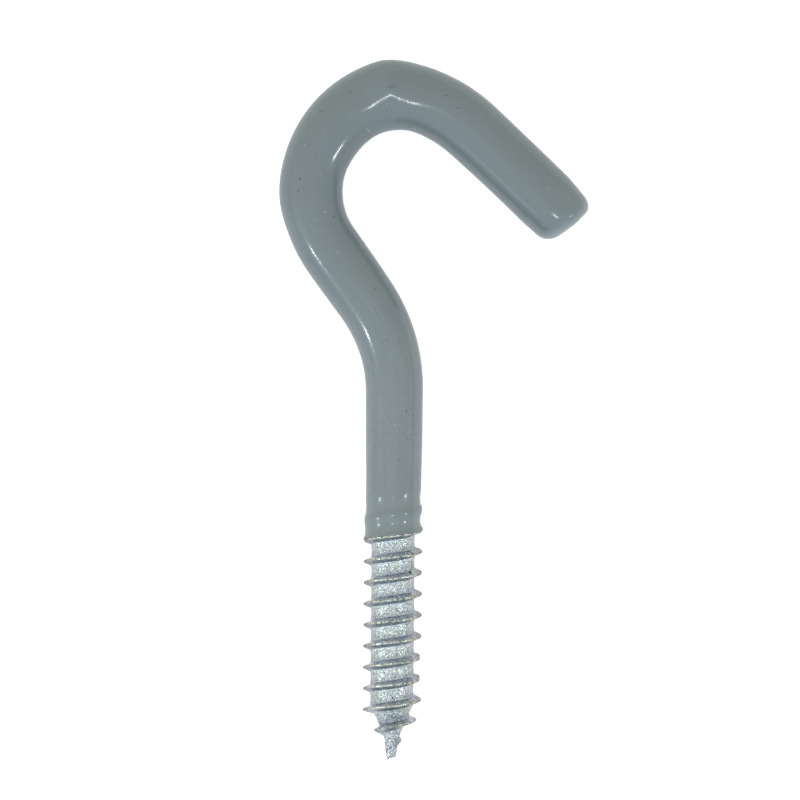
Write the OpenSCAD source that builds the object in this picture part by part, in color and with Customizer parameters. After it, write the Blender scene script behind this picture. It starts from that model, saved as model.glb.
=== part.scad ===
// Screw hook: a zinc-plated steel wire with a rolled wood thread and a gimlet point,
// bent to an open hook and dipped in grey vinyl from the free end down to the thread.
// All lengths are in millimetres and all angles in degrees.
// The hook lies flat: its wire runs in the XY plane, and the screw's axis is the Y axis.
// The origin is on that axis, at the vinyl's lower edge. The point looks along -Y, and
// the hook opens towards +X.

/* [Wire] */
// Diameter of the bare steel wire under the vinyl
wire_d = 6.35; // [6.2:0.05:7.2]

/* [Thread] */
// Diameter over the crests of the thread
thread_d = 7.8; // [7.4:0.1:8.8]
// Diameter at the root of the thread
thread_root_d = 5.7; // [5:0.1:6]
// Distance from one crest to the next
thread_pitch = 2.82; // [2.4:0.02:3.4]
// Length of the bare thread, from the vinyl's edge to the tip
thread_l = 29.8; // [20:0.2:50]
// Angle between the two flanks of the thread
thread_flank_angle = 55; // [45:1:60]
// Width of the flat on the thread's crest
thread_crest_w = 0.15; // [0.1:0.05:0.3]
// Length over which the thread fades out under the vinyl
thread_runout_l = 3.4; // [2:0.1:5]

/* [Point] */
// Length of the tapered point
point_l = 7.2; // [5:0.1:10]
// Length of the slender nib at the end of the point
nib_l = 2.8; // [1.6:0.1:3.6]
// Diameter where the nib begins
nib_d = 2; // [1.4:0.1:2.6]
// Diameter of the blunt tip
tip_d = 0.9; // [0.6:0.1:1.2]
// Height above the tip at which the crests start to taper
crest_taper_l = 6; // [4.6:0.1:8]
// Length of the nib that has no thread
bare_nib_l = 1.2; // [0.6:0.1:1.5]

/* [Hook] */
// Straight shank above the vinyl's edge
shank_l = 19.1; // [12:0.1:40]
// Centreline radius of the bend from the shank to the throat
neck_r = 21.6; // [14:0.2:30]
// Angle of the bend from the shank to the throat
neck_angle = 35.5; // [25:0.5:45]
// Straight wire between the neck and the back of the hook
throat_l = 8.4; // [2:0.2:16]
// Centreline radius of the back of the hook
back_r = 12.9; // [10:0.1:20]
// Angle of the back of the hook
back_angle = 90.5; // [70:0.5:100]
// Centreline radius of the crown, where the load hangs
crown_r = 10.8; // [8:0.1:18]
// Angle of the crown
crown_angle = 57; // [45:1:65]
// Centreline radius of the bend in front of the crown
front_r = 19; // [12:0.5:30]
// Angle of the bend in front of the crown
front_angle = 21; // [10:1:30]
// Straight wire at the free end
nose_l = 17; // [8:0.1:26]

/* [Vinyl coat] */
// Thickness of the vinyl at the foot of the shank
coat_shank_t = 0.36; // [0.3:0.02:0.7]
// Thickness of the vinyl where the crown begins
coat_crown_t = 1.2; // [0.8:0.05:1.8]
// Thickness of the vinyl along the free end
coat_nose_t = 1.1; // [0.8:0.05:1.8]
// Thickness of the vinyl over the wire's cut end
coat_end_t = 1.1; // [0.8:0.1:2]
// Depth of the free end's rounded rim, across the wire
end_round = 1.7; // [0.6:0.1:2]
// Length of the free end's rounded rim, along the wire
end_round_l = 2.6; // [1:0.1:3]
// Slant of the free end's face
end_slant = 8.5; // [0:0.5:12]

/* [Drip at the crown] */
// Height of the set drip on the outside of the crown
drip_h = 0.6; // [0:0.05:1]
// Length of wire over which the drip spreads, each way
drip_l = 3.2; // [2:0.1:5]
// Angle round the crown, from its start, at which the drip hangs
drip_angle = 25; // [10:1:40]

/* [Cuff over the last crests] */
// Thickness of the vinyl over the crest at its edge
edge_t = 0.17; // [0.15:0.01:0.3]
// Thickness of the vinyl's edge in the groove at the back
groove_t = 0.3; // [0.2:0.05:0.5]
// How far the covered crest swells the shank
cuff_swell = 0.17; // [0.12:0.01:0.3]
// Length of the cuff, from the edge up to the smooth shank
cuff_l = 5.2; // [4.6:0.1:7]

/* [Hidden] */
$fn = 72;

wire_r = wire_d / 2;
crest_r = thread_d / 2;
root_r = thread_root_d / 2;
nib_r = nib_d / 2;
tip_r = tip_d / 2;
tip_y = -thread_l;

// ---------- The centreline: legs of [length, turn], where a positive turn is to the left
function arc_l(r, angle) = r * angle * PI / 180;
LEGS = [
    [shank_l, 0],
    [arc_l(neck_r, neck_angle), neck_angle],
    [throat_l, 0],
    [arc_l(back_r, back_angle), -back_angle],
    [arc_l(crown_r, crown_angle), -crown_angle],
    [arc_l(front_r, front_angle), -front_angle],
    [nose_l, 0],
];
LAST = len(LEGS) - 1;

// Signed radius of a curved leg
function leg_r(leg) = leg[0] * 180 / PI / leg[1];
// A place [x, y, heading], moved along a leg by the length t
function move_line(p, t) = [p.x + t * cos(p[2]), p.y + t * sin(p[2]), p[2]];
function move_arc(p, r, turn) = [
    p.x + r * (sin(p[2] + turn) - sin(p[2])),
    p.y - r * (cos(p[2] + turn) - cos(p[2])),
    p[2] + turn
];
function move(p, leg, t) =
    leg[1] == 0 ? move_line(p, t) : move_arc(p, leg_r(leg), leg[1] * t / leg[0]);
// Place at the start of leg i, and the length of wire before it
function leg_start(i) = i == 0 ? [0, 0, 90] : move(leg_start(i - 1), LEGS[i - 1], LEGS[i - 1][0]);
function leg_s(i) = i == 0 ? 0 : leg_s(i - 1) + LEGS[i - 1][0];
STARTS = [for (i = [0:LAST]) leg_start(i)];
STATIONS = [for (i = [0:LAST]) leg_s(i)];
wire_end_s = STATIONS[LAST] + nose_l;
// Leg that holds the length s, and the place there
function leg_at(s, i = LAST) = (i == 0 || s >= STATIONS[i]) ? i : leg_at(s, i - 1);
function place(s) = let (i = leg_at(s)) move(STARTS[i], LEGS[i], s - STATIONS[i]);

// ---------- The screw: radii at the height y above the vinyl's edge
runout_y = thread_pitch / 4;
thread_end_y = tip_y + bare_nib_l;
crest_sink = 0.1;
ridge_sink = 0.2;
BODY_R = [
    [tip_y, tip_r],
    [tip_y + nib_l, nib_r],
    [tip_y + point_l, root_r],
    [runout_y, root_r],
    [runout_y + thread_runout_l, wire_r],
];
function body_r(y) = lookup(y, BODY_R);
CREST_R = [
    [thread_end_y, body_r(thread_end_y) - crest_sink],
    [tip_y + crest_taper_l, crest_r],
    [runout_y, crest_r],
    [runout_y + thread_runout_l, wire_r - crest_sink],
];
function thread_crest_r(y) = lookup(y, CREST_R);

// ---------- Solids through rows of rings
// Skin of a row of rings with n points each
function skin(rings, n) = [
    for (j = [0:rings - 2], k = [0:n - 1])
        let (a = j * n + k, b = j * n + (k + 1) % n)
            each [[a, a + n, b], [b, a + n, b + n]]
];
// Closed solid through rings of n points; its two ends are fans round the points low and high
module swept(points, n, low, high) {
    count = len(points);
    ends = [
        for (k = [0:n - 1])
            let (next = (k + 1) % n)
                each [[count, k, next], [count + 1, count - n + next, count - n + k]]
    ];
    polyhedron(concat(points, [low, high]), concat(skin(count / n, n), ends), convexity = 12);
}

// ---------- One helical ridge, right-handed, whose crest is at z > 0 where y is 0
turn_steps = 36;
first_step = ceil(thread_end_y / thread_pitch * turn_steps);
last_step = floor((runout_y + thread_runout_l) / thread_pitch * turn_steps);
flank = tan(thread_flank_angle / 2);
function around(r, angle, y) = [r * sin(angle), y, r * cos(angle)];
function helix_y(angle) = thread_pitch * angle / 360;
function ridge_half_w(y) = thread_crest_w / 2 + (thread_crest_r(y) - body_r(y) + ridge_sink) * flank;
// Section of the ridge as [radius, height]: upper foot, the crest's two corners, lower foot
function ridge_section(y) = let (w = ridge_half_w(y), c = thread_crest_w / 2) [
    [body_r(y + w) - ridge_sink, y + w],
    [thread_crest_r(y), y + c],
    [thread_crest_r(y), y - c],
    [body_r(y - w) - ridge_sink, y - w],
];
function ridge_ring(angle) = [for (p = ridge_section(helix_y(angle))) around(p[0], angle, p[1])];
function middle(points) = (points[0] + points[1] + points[2] + points[3]) / 4;
module ridge() {
    rings = [for (i = [first_step:last_step]) ridge_ring(i * 360 / turn_steps)];
    points = [for (ring = rings) each ring];
    swept(points, 4, middle(rings[0]), middle(rings[len(rings) - 1]));
}

// The wire's straight end, rolled and pointed, as one turned solid
module screw_body() {
    rotate([-90, 0, 0])
        rotate_extrude()
            polygon(concat(
                [[0, tip_y]],
                [for (p = BODY_R) [p[1], p[0]]],
                [[wire_r, shank_l], [0, shank_l]]
            ));
}

// ---------- Rings round the centreline, for the bent wire and for the vinyl
bend_step = 6;
line_step = 4;
// Point at the length s, at the radius r and the angle a from the wire's left side
function on_ring(s, r, a) =
    let (p = place(s))
        [p.x - r * cos(a) * sin(p[2]), p.y + r * cos(a) * cos(p[2]), r * sin(a)];
function leg_steps(leg) = ceil(leg[1] == 0 ? leg[0] / line_step : abs(leg[1]) / bend_step);
// Lengths along leg i, from its start up to just before its end
function leg_stations(i) =
    let (n = leg_steps(LEGS[i]))
        [for (j = [0:n - 1]) STATIONS[i] + LEGS[i][0] * j / n];
BEND_STATIONS = [for (i = [1:LAST]) each leg_stations(i)];

// The bent wire starts a little inside the screw's shank, so that the two are one solid
wire_sides = 24;
wire_overlap = 1;
wire_tuck = 0.02;
WIRE_RINGS = concat(
    [[shank_l - wire_overlap, wire_r - wire_tuck], [shank_l, wire_r - wire_tuck]],
    [for (s = BEND_STATIONS) if (s > shank_l) [s, wire_r]],
    [[wire_end_s, wire_r]]
);
// The free end is sheared on a slant. A slanted ring moves on by this much at the angle a.
function slanted(r, a) = r * cos(a) * tan(end_slant);
function wire_point(ring, a) =
    on_ring(ring[0] + (ring[0] == wire_end_s ? slanted(ring[1], a) : 0), ring[1], a);
module bent_wire() {
    points = [
        for (ring = WIRE_RINGS, k = [0:wire_sides - 1])
            wire_point(ring, 360 * k / wire_sides)
    ];
    swept(points, wire_sides, on_ring(shank_l - wire_overlap, 0, 0), on_ring(wire_end_s, 0, 0));
}

module steel_shape() {
    screw_body();
    ridge();
    bent_wire();
}

module steel_hook() {
    color("#b9bcbf") steel_shape();
}

// ---------- The vinyl's outer radius
coat_end_s = wire_end_s + coat_end_t;
COAT_R = [
    [0, wire_r + coat_shank_t],
    [STATIONS[4], wire_r + coat_crown_t],
    [wire_end_s, wire_r + coat_nose_t],
];
function coat_r(s) = lookup(s, COAT_R);

// The drip set on the outside of the crown, which hung lowest as the vinyl dried
drip_s = STATIONS[4] + arc_l(crown_r, drip_angle);
function drip(s, a) = drip_h * exp(-pow((s - drip_s) / drip_l, 2)) * pow((1 + cos(a)) / 2, 2);

// The cuff: vinyl over the last crests. Its edge clings to one crest round the front, and
// crosses the groove at the back, where the next crest begins.
edge_hold = 100;
edge_taper = 0.8;
crest_sharpness = 3;
function turned(a) = a > 270 ? a - 450 : a - 90;
function edge_y(angle) =
    abs(angle) <= edge_hold
        ? helix_y(angle)
        : helix_y(edge_hold) * sign(angle) * sin(90 * (180 - abs(angle)) / (180 - edge_hold));
// 1 on a crest and 0 midway between two, at the distance d along the axis from a crest
function crest_shape(d) = pow((1 + cos(360 * d / thread_pitch)) / 2, crest_sharpness);
SWELL_R = [
    [runout_y, crest_r + edge_t],
    [runout_y + thread_pitch / 2, coat_r(0) + cuff_swell],
    [runout_y + thread_pitch * 1.1, coat_r(0) + cuff_swell],
    [runout_y + thread_pitch * 1.5, coat_r(0)],
];
function ease(t) = t >= 1 ? 1 : t * t * (3 - 2 * t);
function between(a, b, t) = a + (b - a) * t;
// Radius at the height y, at the distance e above the edge
function cuff_r(y, e, angle) =
    let (
        base = between(root_r + groove_t, coat_r(y), ease(e / edge_taper)),
        crest = max(base, lookup(y, SWELL_R))
    )
        between(base, crest, crest_shape(y - helix_y(angle)));

// ---------- The vinyl's rings: [length s, follows the edge, slants with the face, inset]
coat_sides = 32;
cuff_steps = 18;
cuff_spread = 1.3;
rim_steps = 5;
function follow(e) = 1 - ease((e - thread_pitch) / (cuff_l - thread_pitch));
CUFF_RINGS = [
    for (i = [0:cuff_steps - 1])
        let (e = cuff_l * pow(i / cuff_steps, cuff_spread))
            [e, e < thread_pitch ? 1 : follow(e), 0, 0]
];
slant_l = 4;
rim_s = coat_end_s - end_round_l;
SHAFT_RINGS = [
    for (s = concat([cuff_l, (cuff_l + shank_l) / 2], BEND_STATIONS))
        if (s < rim_s - slant_l) [s, 0, 0, 0]
];
RIM_RINGS = [
    [rim_s - slant_l, 0, 0, 0],
    for (i = [0:rim_steps])
        let (a = 90 * i / rim_steps)
            [rim_s + end_round_l * sin(a), 0, 1, end_round * (1 - cos(a))]
];
COAT_RINGS = concat(CUFF_RINGS, SHAFT_RINGS, RIM_RINGS);
function coat_point(ring, a) =
    let (
        angle = turned(a),
        s = ring[0] + ring[1] * edge_y(angle),
        r = (ring[0] < cuff_l ? cuff_r(s, ring[0], angle) : coat_r(s) + drip(s, a)) - ring[3]
    )
        on_ring(s + ring[2] * slanted(r, a), r, a);

module coat_outside() {
    points = [
        for (ring = COAT_RINGS, k = [0:coat_sides - 1])
            coat_point(ring, 360 * k / coat_sides)
    ];
    swept(points, coat_sides, [0, 0, 0], on_ring(coat_end_s, 0, 0));
}

module vinyl_coat() {
    color("#7d8a8c")
        difference() {
            coat_outside();
            steel_shape();
        }
}

steel_hook();
vinyl_coat();
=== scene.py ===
# %% [markdown]
# # A vinyl-dipped screw hook
# The object is one length of steel wire. Its lower end is rolled to a wood thread with a
# slender point, and the rest is bent to an open hook. It was zinc plated, hung by its point and
# dipped in warm liquid vinyl, so a glossy grey skin covers the bend, the shank and the last
# crests of the thread. Everything is modelled in the frame of the CAD part: metres, with the
# wire in the XY plane, the screw's axis along Y, and +Z looking up from the table.

# %% Load the CAD part
import math

import bmesh
import bpy
import numpy as np
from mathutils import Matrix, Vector, noise


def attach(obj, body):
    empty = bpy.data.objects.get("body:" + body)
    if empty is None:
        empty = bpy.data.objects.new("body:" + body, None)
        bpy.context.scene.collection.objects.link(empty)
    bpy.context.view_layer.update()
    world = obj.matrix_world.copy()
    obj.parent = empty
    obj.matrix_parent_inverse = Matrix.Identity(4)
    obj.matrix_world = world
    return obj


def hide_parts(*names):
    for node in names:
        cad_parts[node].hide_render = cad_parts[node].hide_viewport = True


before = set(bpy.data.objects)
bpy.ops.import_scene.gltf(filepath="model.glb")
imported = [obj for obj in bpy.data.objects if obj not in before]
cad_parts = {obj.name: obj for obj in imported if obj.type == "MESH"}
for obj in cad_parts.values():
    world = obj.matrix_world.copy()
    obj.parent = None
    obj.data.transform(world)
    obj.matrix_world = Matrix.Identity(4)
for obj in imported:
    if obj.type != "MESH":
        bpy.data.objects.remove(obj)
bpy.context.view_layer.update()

# %% [markdown]
# ## The wire's path
# Both pieces follow the same centreline, so it is written once, as the legs that a bending
# machine would make: straight lengths, and bends with a radius and an angle. A positive angle
# turns to the left. Every later size is in millimetres too, and MM turns it to Blender's metres.

# %% Legs of the wire
MM = 0.001
LEGS = [
    {"name": "shank", "length": 19.1},
    {"name": "neck", "radius": 21.6, "angle": 35.5},
    {"name": "throat", "length": 8.4},
    {"name": "back", "radius": 12.9, "angle": -90.5},
    {"name": "crown", "radius": 10.8, "angle": -57},
    {"name": "front", "radius": 19.0, "angle": -21},
    {"name": "nose", "length": 17.0},
]
place_now, distance = np.array([0.0, 0.0, 90.0]), 0.0
for leg in LEGS:
    leg["start"], leg["s"] = place_now.copy(), distance
    x, y, heading = place_now
    if "length" in leg:
        run = leg["length"]
        h = math.radians(heading)
        place_now[:2] += run * np.array([math.cos(h), math.sin(h)])
    else:
        turn, side = math.radians(leg["angle"]), math.copysign(1, leg["angle"])
        run = leg["radius"] * abs(turn)
        left = math.radians(heading + 90)
        leg["centre"] = np.array([x + side * leg["radius"] * math.cos(left),
                                  y + side * leg["radius"] * math.sin(left)])
        out = math.radians(heading - 90 * side) + turn
        place_now[:2] = leg["centre"] + leg["radius"] * np.array([math.cos(out), math.sin(out)])
        place_now[2] += leg["angle"]
    distance += run
    leg["end_s"] = distance
wire_end = distance
print("wire from the vinyl's edge to its cut end:", round(wire_end, 2), "mm")


# %% Place and heading at a distance along the wire
def place(s):
    """Centre [x, y] in mm and heading in radians at the distance s from the vinyl's edge."""
    leg = next((l for l in LEGS if s <= l["end_s"]), LEGS[-1])
    x, y, heading = leg["start"]
    along = s - leg["s"]
    if "length" in leg:
        h = math.radians(heading)
        return np.array([x + along * math.cos(h), y + along * math.sin(h)]), h
    side = math.copysign(1, leg["angle"])
    turn = side * along / leg["radius"]
    out = math.radians(heading - 90 * side) + turn
    centre = leg["centre"] + leg["radius"] * np.array([math.cos(out), math.sin(out)])
    return centre, math.radians(heading) + turn


crown = next(l for l in LEGS if l["name"] == "crown")
crown_top = crown["s"] + crown["radius"] * math.radians(crown["start"][2])
print("top of the crown's centreline:", place(crown_top)[0].round(2), "mm")

# %% [markdown]
# ## A ring carried along the wire
# A bent tube could be a curve with a round bevel, but a curve's rings can't be kept where the
# detail is needed. Here one circle is extruded along the straight legs in short steps and spun
# round the middle of each bend, as one would by hand. A table says up to which distance along
# the wire each step is used: short ones at the cuff, the drip and the free end, where the skin
# has detail, and longer ones between.


# %% Sweep the selected ring
NEAR = 1e-6  # distances along the wire closer than this are the same


def sweep(first_s, last_s, steps):
    """Carry the selected ring from first_s to last_s. Returns the distance of every ring."""
    stations, s = [first_s], first_s
    while s < last_s - NEAR:
        leg = next((l for l in LEGS if s < l["end_s"] - NEAR), LEGS[-1])
        stop = last_s if leg is LEGS[-1] else min(leg["end_s"], last_s)
        limit, step = next((limit, step) for limit, step in steps if s < limit - NEAR)
        stop = min(stop, limit)
        count = max(1, round((stop - s) / step))
        if "length" in leg:
            h = math.radians(leg["start"][2])
            move = Vector((math.cos(h), math.sin(h), 0)) * ((stop - s) / count * MM)
            for _ in range(count):
                bpy.ops.mesh.extrude_region_move(TRANSFORM_OT_translate={"value": move})
        else:
            c = leg["centre"] * MM
            angle = (stop - s) / leg["radius"]
            bpy.ops.mesh.spin(steps=count, angle=angle, center=(c[0], c[1], 0),
                              axis=(0, 0, -math.copysign(1, leg["angle"])))
        stations += [s + (stop - s) * (i + 1) / count for i in range(count)]
        s = stop
    return stations


def start_ring(name, radius, s, sides):
    """A circle round the wire at s, open for editing, with all of it selected."""
    centre, h = place(s)
    bpy.ops.mesh.primitive_circle_add(
        vertices=sides, radius=radius * MM, location=(centre[0] * MM, centre[1] * MM, 0),
        rotation=(math.pi / 2, 0, h - math.pi / 2))
    ring = bpy.context.object
    ring.name = name
    bpy.ops.object.transform_apply(location=True, rotation=True, scale=True)
    bpy.ops.object.mode_set(mode="EDIT")
    bpy.ops.mesh.select_all(action="SELECT")
    return ring


# %% [markdown]
# ## The vinyl skin, first as a plain tube
# The skin is a closed tube round the wire, and a plain tube comes first. Its radius doesn't
# matter yet, because each point gets one of its own later.

# %% Sweep the skin
PLAIN_R, SIDES = 4.0, 72
END_T = 1.3  # thickness of the vinyl over the wire's cut end
skin_end = wire_end + END_T
SKIN_STEPS = [(6.0, 0.15), (19.1, 0.6), (56.0, 0.5), (63.5, 0.3), (69.0, 0.15),
              (74.0, 0.3), (wire_end - 5.1, 0.5), (wire_end - 1.0, 0.2), (200.0, 0.1)]
skin = start_ring("vinyl_skin", PLAIN_R, 0, SIDES)
skin_rings = sweep(0, skin_end, SKIN_STEPS)
bpy.ops.object.mode_set(mode="OBJECT")
print("rings:", len(skin_rings), "points:", len(skin.data.vertices))


# %% Find each point's ring and its angle round the wire
def points_of(obj):
    """Every point of the piece's mesh, in mm."""
    points = np.empty(len(obj.data.vertices) * 3)
    obj.data.vertices.foreach_get("co", points)
    return points.reshape(-1, 3) / MM


def ring_places(obj, stations, radius):
    """Distance along the wire and angle round it of every point. Angle 0 is the wire's left,
    which is the outer side of the hook, and 90 degrees is up."""
    points = points_of(obj)
    places = [place(s) for s in stations]
    centres = np.array([p[0] for p in places])
    along = np.array([[math.cos(p[1]), math.sin(p[1])] for p in places])
    off = points[:, None, :2] - centres[None]
    miss = abs((off * along[None]).sum(2)) + abs(np.hypot(np.hypot(off[..., 0], off[..., 1]),
                                                          points[:, None, 2]) - radius)
    best = miss.argmin(1)
    print("largest miss:", round(float(miss.min(1).max()), 5), "mm")
    left = np.stack([-along[best, 1], along[best, 0]], 1)
    side = (off[np.arange(len(points)), best] * left).sum(1)
    return np.array(stations)[best], np.arctan2(points[:, 2], side)


skin_s, skin_a = ring_places(skin, skin_rings, PLAIN_R)

# %% [markdown]
# ## How thick the vinyl set
# Dipped vinyl is never even. It is thin on the shank, twice as thick in the bend, and it ran
# together to a drip on the outside of the crown, where the hook hung lowest. A short table says
# how far the skin's outside is from the wire's middle, on the outer and the inner side of the
# hook. It is blurred, because liquid leaves no corners. The drip also pulled the top of the
# section outwards to a soft ridge. A second table says how far the top leans, and the
# height is corrected with it, so that the ridge bends without a step. Along the ridge the top
# also swells a little, sooner before the drip than after it.

# %% Radius of the skin along the wire
SKIN_R = [  # distance along the wire, radius on the outer side, radius on the inner side
    (0, 3.70, 3.69), (8, 3.70, 3.70), (12, 3.77, 3.79), (18, 3.82, 3.80), (24, 3.89, 3.92),
    (30, 4.09, 4.03), (36, 4.24, 4.14), (40, 4.30, 4.14), (44, 4.06, 4.09), (48, 4.36, 4.14),
    (52, 4.25, 4.19), (55, 4.27, 4.38), (58, 4.38, 4.42), (60, 4.47, 4.41), (62, 4.57, 4.41),
    (64.2, 4.76, 4.42), (66.3, 5.13, 4.46), (68.4, 4.76, 4.46), (70, 4.47, 4.43),
    (70.8, 4.43, 4.42), (72, 4.37, 4.425), (74, 4.36, 4.43), (78, 4.33, 4.41), (84, 4.32, 4.29),
    (89, 4.30, 4.29), (91, 4.25, 4.35), (98, 4.21, 4.35)]
LEAN = [  # distance along the wire, how far the top of the section leans to the outer side
    (61.5, 0), (63.3, -0.3), (64.3, -0.03), (65.3, 0.27), (66.0, 0.46), (66.6, 0.7), (67.0, 0.56),
    (67.7, 0.19), (68.6, -0.05), (69.6, -0.18), (70.7, -0.14), (73, 0), (89, 0), (93.5, -0.45),
    (95.2, -0.4), (96.2, 0.1), (98, 0.1)]
BLUR, LEAN_BLUR = 0.7, 0.12
INNER_HOLD = 4  # the higher, the further round the section keeps its inner radius
TOP_W, TOP_FADE = 0.3, 0.5  # sideways share up to which the top leans, and where that fades
LEVEL_SIDE = 0.18  # how far round from the top the leaning section keeps its height
HUMP_S, HUMP, HUMP_FADE_L = 67.4, 0.2, 10.0  # place, height and reach of the swollen top
HUMP_L, HUMP_SINK = (5.0, 12.0), 0.5  # its lengths before and after the drip, and its foot
FINE_STEP, BRUSH_REACH = 0.05, 60
fine_s = np.arange(-4, 104, FINE_STEP)


def blurred(table, k, width):
    """Column k of a table at every fine step, blurred over the width in mm."""
    table = np.array(table)
    reach = np.arange(-BRUSH_REACH, BRUSH_REACH + 1) * FINE_STEP
    brush = np.exp(-((reach / width) ** 2) / 2)
    return np.convolve(np.interp(fine_s, table[:, 0], table[:, k]), brush / brush.sum(), "same")


outer_fine, inner_fine = blurred(SKIN_R, 1, BLUR), blurred(SKIN_R, 2, BLUR)
lean_fine = blurred(LEAN, 1, LEAN_BLUR)


def ease(t):
    """Go smoothly from 0 to 1 while t does."""
    t = np.clip(t, 0, 1)
    return t * t * (3 - 2 * t)


def skin_radius(s, a):
    """Radius of the skin at the distance s and the angle a, arrays or numbers, in mm."""
    outer, inner = np.interp(s, fine_s, outer_fine), np.interp(s, fine_s, inner_fine)
    lean = np.interp(s, fine_s, lean_fine)
    sideways = np.cos(a)
    smooth = inner + (outer - inner) * ((1 + sideways) / 2) ** INNER_HOLD
    at_top = (1 - ease((abs(sideways) - TOP_W) / TOP_FADE)) * (np.sin(a) > 0)
    leaning = lean * (sideways + LEVEL_SIDE) - lean ** 2 / (2 * smooth)
    past = s - HUMP_S
    hump = np.exp(-(past / np.where(past < 0, *HUMP_L)) ** 2) - HUMP_SINK
    hump *= HUMP * np.exp(-(past / HUMP_FADE_L) ** 4)
    return smooth + at_top * (leaning + hump)


print("radius at the drip:", float(skin_radius(66.3, 0).round(2)), "mm")

# %% [markdown]
# ## The cuff over the last crests
# At its lower end the skin covers the last crests of the thread and stops on one of them. The
# edge climbs with the thread and flares out over the crest that holds it. Above each covered
# crest the liquid drained to a soft shoulder, and behind that it left a shallow valley. A crest
# is followed by its number of turns, so that it can grow from under the edge at the back, pass
# round the front, and fade after a turn.

# %% Cuff: the edge and the covered crests
PITCH = 2.82
EDGE_R, EDGE_BACK_R, EDGE_LIFT, FLARE_L = 4.07, 3.15, 0.1, 0.5
EDGE_HOLD = math.radians(100)  # the edge holds to its crest up to here on both sides
FLARE_POWER = 1.6
SHOULDER = np.array([  # height above the crest, how much the skin stands out
    (-2.3, 0.0), (-1.6, -0.03), (-1.4, -0.024), (-1.2, -0.008), (-1.0, 0.02), (-0.8, 0.058),
    (-0.6, 0.102), (-0.4, 0.146), (-0.2, 0.184), (0.0, 0.204), (0.1, 0.203), (0.38, 0.15),
    (0.6, 0.02), (0.8, -0.08), (1.5, -0.11), (2.0, -0.08), (2.6, -0.015), (3.1, 0.0)])
GROWS = ((100, 0.45), (255, 0.55))  # degrees at which a covered crest begins to grow, and share
GROW_TURN, FADE_FROM, FADE_TURN = 80, 450, 90  # degrees it takes, and where and how it fades
VALLEY_FRONT, VALLEY_SIDE = 0.3, 0.8  # the valley is shallow at the front and deeper beside it
SWELL, SWELL_Y, SWELL_L = 0.09, 1.7, 1.7  # the cuff stands out a little more on the left


def climb(turned):
    """Height of the crest at an angle counted from the front, in mm."""
    return PITCH * turned / (2 * math.pi)


def edge_height(turned):
    """Height of the skin's edge. Behind the sides it slopes back to the crest's other end."""
    held = climb(turned)
    back = climb(EDGE_HOLD) * np.sign(turned) * np.sin(
        math.pi / 2 * (math.pi - abs(turned)) / (math.pi - EDGE_HOLD))
    return EDGE_LIFT + np.where(abs(turned) <= EDGE_HOLD, held, back)


def cuff_radius(e, y, turned, base):
    """e is the distance above the edge, y the height, and base the smooth skin's radius."""
    body = base.copy()
    for turns in (0, 1):
        whole = np.degrees(turned) + 360 * turns
        amount = sum(share * ease((whole - begins) / GROW_TURN) for begins, share in GROWS)
        amount *= 1 - ease((whole - FADE_FROM) / FADE_TURN)
        out = np.interp(y - climb(turned) - turns * PITCH, SHOULDER[:, 0], SHOULDER[:, 1])
        valley = VALLEY_FRONT + VALLEY_SIDE * ease(2 * abs(np.sin(turned)))
        body += amount * np.where(out < 0, out * valley, out)
    body -= SWELL * np.sin(turned) * np.exp(-((y - SWELL_Y) / SWELL_L) ** 2)
    at_front = 1 - ease((abs(turned) - EDGE_HOLD) / (math.pi - EDGE_HOLD))
    edge = EDGE_BACK_R + (EDGE_R - EDGE_BACK_R) * at_front
    flare = np.exp(-(e / FLARE_L) ** FLARE_POWER)
    return body + (edge - body) * flare


print("the edge climbs", round(float(edge_height(EDGE_HOLD) - edge_height(-EDGE_HOLD)), 2),
      "mm round the front")


# %% [markdown]
# ## The free end
# The wire was sheared a little aslant, and the vinyl rounded its rim: softly on the outer side,
# where the skin also tapers, and fuller on the inner side. The last rings of the tube are
# gathered towards the middle along a quarter of an ellipse. On top the rim follows a short
# table instead. There the skin droops a little before the rim, then rolls over ever more steeply.

# %% Free end: gather the last rings
SLANT = math.radians(8.5)
TAPER_L, RIM_L, RIM_OUTER, RIM_INNER = 5.5, 2.2, 1.45, 2.0
TAPER_OUTER, TAPER_INNER, RIM_BACK, INNER_OUT, TOP_BACK = 0.52, 0.12, 0.25, 0.17, 0.05
TOP_RIM = np.array([  # share of the rim's length, how far the top has come down
    (0, 0), (0.14, 0.02), (0.233, 0.06), (0.288, 0.105), (0.326, 0.145), (0.395, 0.225),
    (0.465, 0.304), (0.502, 0.349), (0.558, 0.43), (0.651, 0.6), (0.744, 0.83), (0.837, 1.15),
    (0.93, 1.6), (1, 2.1)])
DROOP_L, DROOP_EASE, DROOP = 3.35, 0.6, 0.058  # the top slopes down a little before the rim


def rim(s, a):
    """How far a ring's points move in, and how far along, at the rounded end."""
    inner_share = (1 - np.cos(a)) / 2
    top = np.sin(a) ** 2
    share = np.clip((s - (skin_end - RIM_L)) / RIM_L, 0, 1)
    t = share * math.pi / 2
    inwards = (RIM_OUTER + (RIM_INNER - RIM_OUTER) * inner_share) * (1 - np.cos(t))
    along = (RIM_L - RIM_BACK + INNER_OUT * inner_share) * np.sin(t) - RIM_L * share
    inwards += (np.interp(share, TOP_RIM[:, 0], TOP_RIM[:, 1]) - inwards) * top
    along += (-TOP_BACK * share - along) * top
    slope = TAPER_OUTER + (TAPER_INNER - TAPER_OUTER) * inner_share
    taper = slope * np.cos(a) ** 2 * ease((s - (skin_end - TAPER_L)) / TAPER_L)
    past = np.clip(s - (skin_end - DROOP_L), 0, None)
    bent = np.where(past < DROOP_EASE, past ** 2 / (2 * DROOP_EASE), past - DROOP_EASE / 2)
    droop = DROOP * top * bent
    return inwards + taper + droop, along


print("taper of the outer side at the end:", TAPER_OUTER, "mm")


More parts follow.
